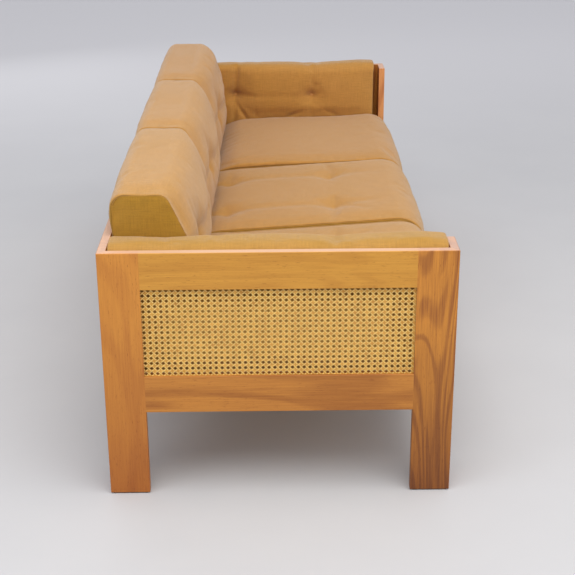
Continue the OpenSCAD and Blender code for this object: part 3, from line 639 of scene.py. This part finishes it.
# %% Seat cushions
TILT = math.radians(3.63)  # the slats fall to the back by this much
DECK = 261.4  # mm, height of the slats' top at the middle of the sofa
WIDTH, PLACE = 566.0, 569.0  # a cushion's width, and the distance between cushions
TUFT_X = 137.0
SEAT_TUFTS = ((-TUFT_X, -165.0), (TUFT_X, -165.0), (-TUFT_X, 125.0), (TUFT_X, 125.0))
SEAT_TOP = 136.5  # mm above the slats
SEAT_SIDE = 134.0  # mm, height of the front and the end panels that swells
deck_turn = np.array(((1, 0, 0), (0, math.cos(TILT), math.sin(TILT)), (0, -math.sin(TILT), math.cos(TILT))))


def seat_push(p, n, variant):
    """Crown of a seat cushion in millimetres along its normal: 5 on top, flat under the back
    cushion, 14 to 29 at the front, minus the cords' dimples."""
    x, y, z = p.T
    fill = 1 - np.abs(x / (WIDTH / 2)) ** 6
    swell = np.sin(np.pi * np.clip(z / SEAT_SIDE, 0, 1))
    top, front = np.clip(n[:, 2], 0, 1), np.clip(-n[:, 1], 0, 1)
    free = 1 - ease(y, 90, 190)
    push = top * (fill * 5.0 * free - 2.5 * ease(y, 120, 190))
    push += front * (14 + 15 * (1 - np.abs(x / (WIDTH / 2)) ** 2.4)) * swell ** 0.6
    push -= 3.0 * np.abs(n[:, 0]) * swell * ease(np.abs(n[:, 0]), 0.9, 1)
    # they have sunk by different amounts, the near one the most
    push += top * free * (-7.0, 1.0, 2.5)[variant + 1]
    if variant == 1:
        # nobody sits here, so it is still full towards the back
        push += top * 11.0 * ease(y, -260, 40) * (1 - ease(y, 110, 172))
    else:
        dip = 0
        for at in SEAT_TUFTS:
            dip = dip + tuft(x, y, at, 12.0, 26.0)
        for y0 in (-165.0, 125.0):
            dip = dip + 1.2 * hump(y, y0, 24) * (1 - ease(np.abs(x), 190, 262))
        for x0 in (-TUFT_X, TUFT_X):
            dip = dip + 4.0 * hump(x, x0, 20) * (1 - ease(np.abs(y + 20), 190, 330))
        push -= top * dip
    return push


def seat_keep(p):
    """Slats below, neighbours at both sides, and the back cushions on the rear of the top."""
    x, y, z = p.T
    ceiling = np.where(y > 165, 134.2, 400)
    return np.stack((np.clip(x, -284.2, 284.2), np.clip(y, -430, 357), np.clip(z, 0.4, ceiling)), -1)


# %% Back cushions
BACK_Z = 530.0  # mm, height of the back buttons
BACK_TUFTS = ((-TUFT_X, BACK_Z), (TUFT_X, BACK_Z))


def back_push(p, n, variant):
    """Crown of a back cushion: the front swells most in two rolls above and below the line of
    the buttons, the rear only where it is above the rail, and the top a little."""
    x, y, z = p.T
    fill = 1 - np.abs(x / (WIDTH / 2)) ** 2.4
    front, rear, top = np.clip(-n[:, 1], 0, 1), np.clip(n[:, 1], 0, 1), np.clip(n[:, 2], 0, 1)
    roll = ease(z, 385, 500) * (1 - 0.35 * ease(z, 630, 672))
    push = front * roll * (2.5 + 18 * fill)
    # one is plump at its crest, and another is drawn in beside the arm cushion
    push += front * fill * (6 + 9 * variant) * hump(z, 652, 30) * (variant >= 0)
    push -= front * 6 * (variant < 0) * ease(-x, 200, 280)
    push += rear * (ease(z, 566, 610) * (3 + 13 * fill))
    push += top * 1.5 * fill * (1 + np.sin(0.021 * x + 1.3 * variant))
    crease = hump(z, BACK_Z + 2.5 * np.sin(0.03 * x + variant), 17)
    deep = (7.5 + 3.5 * (1 - ease(np.abs(x), 100, 240))) * (1 - 0.55 * ease(np.abs(x), 215, 284))
    push -= front * crease * deep
    for at in BACK_TUFTS:
        push -= front * tuft(x, z, at, 15.0, 24.0)
    push -= 2.5 * ease(np.abs(n[:, 0]), 0.9, 1) * roll
    return push


def back_keep(p):
    """The seat cushion below, the rail and cane behind as high as they reach, neighbours beside."""
    x, y, z = p.T
    floor = DECK + 134.6 / math.cos(TILT) - y * math.tan(TILT)
    rear = np.where(z < 576, 360.4, 360.4 + 40 * ease(z, 576, 600))
    return np.stack((np.clip(x, -284.2, 284.2), np.minimum(y, rear), np.maximum(z, floor)), -1)


# %% Arm cushions
ARM_PLACE, ARM_THICK = 897.25, 43.25  # mm, middle plane of an arm cushion, and half its thickness
ARM_FOOT = 285.4  # mm, its lower edge, on its own board
ARM_BUTTONS = (-127.0, 137.0)
STEEP_FOLDS = (110, 420, 0.59, 30, 12.0), (66, 410, 0.1, 26, 5.0), (-20, 400, 1.2, 20, 4.0)
FLAT_FOLDS = (-57, 416, -0.38, 34, 8.0), (-205, 420, 0.5, 34, 4.0)
# side, half length, middle, top and height of the buttons; the right one has been plumped up
ARMS = ((-1, "left", 359.4, 0.0, 579.0, 497.0), (1, "right", 350.0, 9.4, 589.0, 486.0))


def belly(y, z):
    """How far the outer face comes through the frame towards the cane, 0 at its edges to 1."""
    return ease(z, 298, 335) * (1 - ease(z, 440, 484)) * (1 - ease(np.abs(y), 225, 280))


def arm_push(p, n, half, middle, button_z):
    """Crown of an arm cushion in (along, in, up): the inner face swells in front of the back
    cushion and above the seat, the top follows the pull of the cords, and the outer face lies
    against the rail, with a belly towards the cane. Each button draws a crease up and down the
    cloth, and loose folds run from it down to the seat."""
    y, w, z = p[:, 0] + middle, p[:, 1], p[:, 2]
    inner, top = np.clip(n[:, 1], 0, 1), np.clip(n[:, 2], 0, 1)
    fill = 1 - np.abs(p[:, 0] / half) ** 6
    free = ease(z, 412, 452) * (1 - ease(y, 60, 125))
    push = inner * free * fill * 12 * np.sin(np.pi * np.clip((z - 400) / 190, 0, 1)) ** 0.5
    crest = 4.0 - 3.5 * hump(y, 232, 70) - 3.5 * hump(y, -135, 70) + 3.0 * hump(y, -318, 55)
    push += top * crest
    for at in ARM_BUTTONS:
        push -= inner * tuft(y, z, (at, button_z), 27.0, 15.0)
        deep = 10.5 if at > 0 else 3.5
        push -= inner * hump(y, at - 0.06 * (z - button_z), 7 + 0.05 * np.abs(z - button_z)) * deep
    push -= inner * 2.0 * hump(z, button_z, 10) * ease(y, -150, -110) * (1 - ease(y, 100, 150))
    # folds: middle, slope, half length and depth of the steep ones and then the flat ones
    for y0, z0, slope, run, deep in STEEP_FOLDS:
        push -= inner * deep * hump(y, y0 + slope * (z - z0), 7) * hump(z, z0, run)
    for y0, z0, slope, run, deep in FLAT_FOLDS:
        push -= inner * deep * hump(z, z0 + slope * (y - y0), 7) * hump(y, y0, run)
    push += np.clip(-n[:, 1], 0, 1) * (16 * belly(y, z) - 6) * (1 - ease(z, 500, 540))
    push -= 2.0 * ease(np.abs(n[:, 0]), 0.9, 1)
    return push


def arm_keep(p, middle):
    """The end panel outside, the deck below, the boards at both ends, and the seat and back
    cushions inside."""
    y, w, z = p[:, 0] + middle, p[:, 1], p[:, 2]
    reach = np.where((z > 414) & (y < 125), ARM_THICK + 20, ARM_THICK)
    along = np.clip(y, -360.3, 360.3) - middle
    return np.stack((along, np.clip(w, -ARM_THICK - 10, reach), np.maximum(z, ARM_FOOT)), -1)


# %% [markdown]
# ## Sewing them together
# Each form is pushed out along its normals and made a mesh with its cloth coordinates. Real
# softness comes from a cloth simulation: the closed cover is blown up a little by the stuffing,
# with cloth a few percent too large, and held still at the cords, at the seams and where it
# rests. The cover then finds its own small folds between them. All eight run together, so it
# takes the time of the slowest one. How far a point may move is capped, and neighbours keep
# their side flat.

# %% Make the covers
cushions = []


def make_cushion(name, body, nodes, form, push, keep, turn, shift, fade_and_light, tufts, tuft_axis, rests, cap):
    """One cover: form plus push, kept off its neighbours, turned and shifted into place.
    The fading function gives from points and normals how pale the cloth is painted: bleaching,
    and on the arm cushions painted light as well; rests where the cover can't move, and cap
    how many millimetres a point may move as it settles."""
    points, normals, faces, uvs, seam = form
    local = keep(points + normals * push(points, normals)[:, None])
    world = (local @ turn.T + shift) * MM
    if np.linalg.det(turn) < 0:  # mirrored
        faces, uvs = faces[:, ::-1], uvs[:, ::-1]
    cover = make_mesh(name, world, faces)
    layer = cover.data.uv_layers.new(name="cloth")
    layer.data.foreach_set("uv", (uvs * MM).astype(np.float32).ravel())
    # painted light: grows along the sofa towards the far end, where the light is warmer
    painted_warm_light = np.full(len(points), 0.5 + 0.5 * shift[0] / 900)
    for label, values in (("fading_and_painted_light", fade_and_light(points, normals)), ("seam", seam), ("painted_warm_light", painted_warm_light)):
        stored = cover.data.attributes.new(label, "FLOAT", "POINT")
        stored.data.foreach_set("value", values.astype(np.float32))
    cover.data.materials.append(wool)
    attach(cover, body)
    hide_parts(*nodes)
    held = (seam > 0) | rests(points, normals)
    for at in tufts:
        across = points[:, [0, 1]] if tuft_axis == 2 else points[:, [0, 2]]
        held |= np.hypot(across[:, 0] - at[0], across[:, 1] - at[1]) < 9
    cushions.append((cover, held, keep, turn, shift, cap))
    print(name, len(points), "points")


def counts_for(lengths, step):
    """Even numbers of steps for the four sections, opposite ones equal."""
    a, b = (int(round(length / step)) for length in lengths)
    return (a, b, a, b)


STEP = 9.5  # mm between points on the seat and back cushions
seat_form = cushion_form(((-380, 0.4), (352, 0.4), (352, SEAT_TOP), (-380, SEAT_TOP)), (22, 14, 14, 52),
                         counts_for((725, 118), STEP), WIDTH / 2, STEP)
back_form = cushion_form(((180, 385.5), (358, 374.6), (358, 668), (236, 668), (188, 560)),
                         (20, 14, 30, 30, 90), (*counts_for((175, 290), STEP)[:3], 12, 19), WIDTH / 2, STEP)
for i, word in WORDS:
    make_cushion(
        "seat_cushion_cover_" + word, "seat_cushion_" + word, ("seat_cover_" + word, "seat_foam_" + word),
        seat_form, lambda p, n, i=i: seat_push(p, n, i), seat_keep, deck_turn, np.array((i * PLACE, 0, DECK)),
        lambda p, n: 0.1 + ease(n[:, 2], 0.1, 0.8) * (0.9 - 0.5 * np.clip(-n[:, 1], 0, 1))
        + 0.5 * np.clip(-n[:, 1], 0, 1),
        SEAT_TUFTS if i < 1 else (), 2, lambda p, n: (n[:, 2] < -0.5) | (p[:, 1] > 175), 5.0,
    )
    make_cushion(
        "back_cushion_cover_" + word, "back_cushion_" + word, ("back_cover_" + word, "back_foam_" + word),
        back_form, lambda p, n, i=i: back_push(p, n, i), back_keep, np.eye(3), np.array((i * PLACE, 0, 0)),
        lambda p, n: np.clip(0.05 + 0.95 * ease(n[:, 2], -0.1, 0.7) + 0.9 * np.clip(-n[:, 1], 0, 1), 0, 1),
        BACK_TUFTS, 1, lambda p, n: (n[:, 2] < -0.5) | ((n[:, 1] > 0.5) & (p[:, 2] < 560)), 9.0,
    )
for side, word, half, middle, arm_top, button_z in ARMS:
    arm_form = cushion_form(
        ((-ARM_THICK, ARM_FOOT), (ARM_THICK, ARM_FOOT), (ARM_THICK, arm_top), (-ARM_THICK, arm_top)),
        (20, 20, 26, 26),
        counts_for((86, 296), 6.0), half, 6.5)
    make_cushion(
        "arm_cushion_cover_" + word, "arm_cushion_" + word, ("arm_cover_" + word, "arm_foam_" + word),
        arm_form, lambda p, n, half=half, middle=middle, z=button_z: arm_push(p, n, half, middle, z),
        lambda p, middle=middle: arm_keep(p, middle),
        np.array(((0, -side, 0), (1, 0, 0), (0, 0, 1.0))), np.array((side * ARM_PLACE, middle, 0)),
        # painted light: both side faces are painted paler, for the light that comes through the cane onto the
        # outer face and the warm light that the seat throws onto the inner one; the top is paler from
        # bleaching
        lambda p, n: np.clip(0.15 + 0.2 * np.clip(n[:, 2], 0, 1) + 0.75 * np.abs(n[:, 1]), 0, 1),
        [(at - middle, button_z) for at in ARM_BUTTONS], 1,
        lambda p, n: (n[:, 2] < -0.5) | ((n[:, 1] < -0.7) & (p[:, 2] < 560)), 3.0,
    )


# %% Let the covers settle
FRAMES = 20


def settle(pieces):
    """Blows the covers up together for FRAMES steps and keeps each point's move, shortened to
    cap tanh(length / cap) and to less near the sewn ends, then kept off the neighbours."""
    for cover, held, *_ in pieces:
        group = cover.vertex_groups.new(name="held")
        group.add(np.flatnonzero(held).tolist(), 1.0, "REPLACE")
        sim = cover.modifiers.new("cloth", "CLOTH")
        cfg = sim.settings
        cfg.quality, cfg.mass = 5, 0.3
        cfg.tension_stiffness = cfg.compression_stiffness = 15
        cfg.shear_stiffness, cfg.bending_stiffness = 5, 0.6
        cfg.use_pressure, cfg.uniform_pressure_force = True, 3.0
        cfg.shrink_min = cfg.shrink_max = -0.025
        cfg.vertex_group_mass = "held"
        cfg.effector_weights.gravity = 0
        sim.collision_settings.use_collision = sim.collision_settings.use_self_collision = False
        sim.point_cache.frame_start, sim.point_cache.frame_end = 1, FRAMES
    for step in range(1, FRAMES + 1):
        scene.frame_set(step)
    depsgraph = bpy.context.evaluated_depsgraph_get()
    for cover, held, keep, turn, shift, cap in pieces:
        count = len(cover.data.vertices)
        before, after = np.empty(count * 3, np.float32), np.empty(count * 3, np.float32)
        cover.data.vertices.foreach_get("co", before)
        cover.evaluated_get(depsgraph).data.vertices.foreach_get("co", after)
        before, after = before.reshape(-1, 3).astype(float), after.reshape(-1, 3).astype(float)
        move = after - before
        length = np.linalg.norm(move, axis=1)[:, None] + 1e-9
        move *= cap * MM * np.tanh(length / (cap * MM)) / length
        run = np.abs((before / MM - shift) @ turn[:, 0])
        move *= (0.3 + 0.7 * ease(run.max() - run, 6, 60))[:, None]
        local = keep(((before + move) / MM - shift) @ turn)
        world = (local @ turn.T + shift) * MM
        cover.modifiers.clear()
        cover.vertex_groups.clear()
        cover.data.vertices.foreach_set("co", world.astype(np.float32).ravel())
        cover.data.update()
        print(cover.name, "moved up to", round(float(length.max()) * 1000, 1), "mm, kept",
              round(float(np.linalg.norm(world - before, axis=1).max()) * 1000, 1))
    scene.frame_set(1)


settle(cushions)
for cover, *_ in cushions:
    smooth = cover.modifiers.new("smooth", "SUBSURF")
    smooth.levels = smooth.render_levels = 1

# %% [markdown]
# ## Buttons and ties
# A cord goes right through each back and arm cushion and pulls a cloth-covered button into each
# face. The seat cushions only have a short knotted tie, so that nobody sits on a button. A
# button is a low dome turned round its axis, and the cloth tucks under its rim.


# %% Buttons
def dome(centre, axis, radius, height, rings=7, around=20):
    """Closed button: radius cos a and height sin a above its plane for a from -50 to 90 degrees,
    turned round the axis. The pole is one small ring closed by its own face."""
    axis = np.asarray(axis, float) / np.linalg.norm(axis)
    side = np.cross(axis, (0.3, 0.5, 0.81))
    side /= np.linalg.norm(side)
    other = np.cross(axis, side)
    lift = np.linspace(-math.radians(50), math.radians(86), rings)[:, None, None]
    turn = np.linspace(0, 2 * np.pi, around, endpoint=False)[None, :, None]
    ring = np.cos(turn) * side + np.sin(turn) * other
    points = centre + radius * np.cos(lift) * ring + height * np.sin(lift) * axis
    index = np.arange(rings * around).reshape(rings, around)
    a, b = index[:-1], index[1:]
    quads = np.stack((a, np.roll(a, -1, 1), np.roll(b, -1, 1), b), -1).reshape(-1, 4).tolist()
    return points.reshape(-1, 3), quads + [index[0][::-1].tolist(), index[-1].tolist()]


def surface_point(cover, origin, direction):
    """First point of a cover's base mesh that a ray in millimetres meets."""
    hit, place, *_ = cover.ray_cast(tuple(np.asarray(origin) * MM), tuple(direction))
    return np.array(place) / MM if hit else None


def plain_mesh(name, parts):
    """One object from several lists of points in millimetres and faces."""
    points = np.concatenate([p for p, _ in parts]) * MM
    starts = np.cumsum([0] + [len(p) for p, _ in parts])
    faces = [[v + start for v in face] for (_, fs), start in zip(parts, starts) for face in fs]
    mesh = bpy.data.meshes.new(name)
    mesh.from_pydata(points.tolist(), [], faces)
    mesh.polygons.foreach_set("use_smooth", np.ones(len(faces), bool))
    made = bpy.data.objects.new(name, mesh)
    scene.collection.objects.link(made)
    return made


bpy.context.view_layer.update()
by_name = {cover.name: cover for cover, *_ in cushions}
button_cloth, tree, shader = material("wool_covered_button", {"Roughness": 0.9, "Sheen Weight": 0.3})
place = add(tree, "TexCoord").outputs["Object"]
nap = add(tree, "TexNoise", {"Scale": 700.0, "Detail": 4.0}, {"Vector": place}).outputs[0]
tint = add(tree, "Mix", {"data_type": "RGBA", 6: linear("#a8743a"), 7: linear("#cf9a5c")},
           {0: nap}).outputs[2]
weave_bump = add(tree, "Bump", {"Strength": 0.4, "Distance": 0.0005}, {"Height": nap}).outputs[0]
tree.links.new(tint, shader.inputs["Base Color"])
tree.links.new(weave_bump, shader.inputs["Normal"])


def place_tufts(name, body, node, cover, rays, radius, height, sink):
    """Domes where the rays meet the cover, sunk a little into it, riding with the cushion."""
    parts = []
    for origin, direction in rays:
        place = surface_point(cover, origin, direction)
        if place is not None:
            inward = np.asarray(direction, float)
            parts.append(dome(place + inward * sink, -inward, radius, height))
    piece = plain_mesh(name, parts)
    piece.data.materials.append(button_cloth)
    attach(piece, body)
    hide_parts(node)
    print(name, len(parts), "of", len(rays))


for i, word in WORDS:
    rays = []
    for x, z in BACK_TUFTS:
        rays += [((i * PLACE + x, 60, z), (0, 1, 0)), ((i * PLACE + x, 420, z), (0, -1, 0))]
    place_tufts("back_tuft_buttons_" + word, "back_cushion_" + word, "back_buttons_" + word,
                by_name["back_cushion_cover_" + word], rays, 7.5, 4.0, 0.5)
for i, word in WORDS[:2]:
    rays = []
    for x, y in SEAT_TUFTS:
        for z, sign in ((400, -1), (-60, 1)):
            start = np.array((x, y, z)) @ deck_turn.T + (i * PLACE, 0, DECK)
            rays.append((start, deck_turn @ np.array((0, 0, sign))))
    place_tufts("seat_tuft_ties_" + word, "seat_cushion_" + word, "seat_ties_" + word,
                by_name["seat_cushion_cover_" + word], rays, 3.2, 1.8, 1.0)
for side, word, *_, button_z in ARMS:
    rays = []
    for y in ARM_BUTTONS:
        rays += [((side * 700, y, button_z), (side, 0, 0)), ((side * 1100, y, button_z), (-side, 0, 0))]
    place_tufts("arm_tuft_buttons_" + word, "arm_cushion_" + word, "arm_buttons_" + word,
                by_name["arm_cushion_cover_" + word], rays, 7.5, 4.0, 0.5)

# %% [markdown]
# ## Floor and light
# The sofa stands on a plain pale painted floor under soft light from all round: an even bright
# sky, one wide panel above and on the side of the eye, and three weaker ones at the right, the
# left and the far end, which open up the fronts of the back cushions and the floor below.

# %% Floor
floor_paint, tree, shader = material("matt_floor_paint", {"Roughness": 0.75, "Specular IOR Level": 0.3})
place = add(tree, "TexCoord").outputs["Object"]
worn = add(tree, "TexNoise", {"Scale": 1.8, "Detail": 6.0, "Roughness": 0.6}, {"Vector": place}).outputs[0]
tint = add(tree, "Mix", {"data_type": "RGBA", 6: linear("#c6c7ca"), 7: linear("#bbbcc0")},
           {0: worn}).outputs[2]
# painted light: the floor is painted paler beyond the far end, where more light falls on it
far = add(tree, "SeparateXYZ", links={0: place}).outputs["X"]
far = add(tree, "MapRange", {"interpolation_type": "SMOOTHSTEP", "From Min": 0.9, "From Max": 4.5},
          {"Value": far}).outputs[0]
tint = add(tree, "Mix", {"data_type": "RGBA", 7: linear("#dcdce0")}, {0: far, 6: tint}).outputs[2]
tree.links.new(tint, shader.inputs["Base Color"])
SPREAD, LINES = 40.0, 13  # metres from the middle to an edge, and grid lines each way
across = np.linspace(-SPREAD, SPREAD, LINES)
gx, gy = np.meshgrid(across, across, indexing="ij")
cells = np.arange(LINES**2).reshape(LINES, LINES)
corners = np.stack((cells[:-1, :-1], cells[1:, :-1], cells[1:, 1:], cells[:-1, 1:]), -1)
floor = make_mesh("studio_floor", np.stack((gx, gy, gx * 0), -1).reshape(-1, 3), corners.reshape(-1, 4))
floor.data.materials.append(floor_paint)

# %% Light
world = bpy.data.worlds.new("soft_sky")
scene.world = world
world.use_nodes = True
sky = world.node_tree.nodes["Background"]
sky.inputs["Color"].default_value, sky.inputs["Strength"].default_value = linear("#fbfbff"), 0.71
scene.view_settings.view_transform = "Standard"


def lamp(name, place, towards, size, power, colour):
    """A square soft light of that size in metres, aimed from place at a point."""
    data = bpy.data.lights.new(name, "AREA")
    data.shape, data.size, data.energy, data.color = "SQUARE", size, power, linear(colour)[:3]
    made = bpy.data.objects.new(name, data)
    scene.collection.objects.link(made)
    ahead = np.asarray(towards, float) - place
    yaw = math.degrees(math.atan2(ahead[1], ahead[0]))
    pitch = math.degrees(math.atan2(-ahead[2], math.hypot(ahead[0], ahead[1])))
    made.matrix_world = aim(place, yaw, pitch, 0.0)
    made.visible_camera = False


lamp("overhead_panel", (-1.8, -0.4, 3.2), (-0.2, 0, 0.3), 3.0, 92.0, "#fffcf6")
lamp("left_panel", (-2.6, 2.4, 2.0), (-0.3, 0, 0.4), 1.8, 17.0, "#ffffff")
lamp("right_panel", (-1.3, -3.2, 1.5), (0, 0.3, 0.4), 1.8, 13.0, "#fff0dc")
lamp("far_panel", (3.2, 1.8, 1.6), (0.3, 0.3, 0.1), 2.4, 9.0, "#ffffff")
print("lights", len(bpy.data.lights))
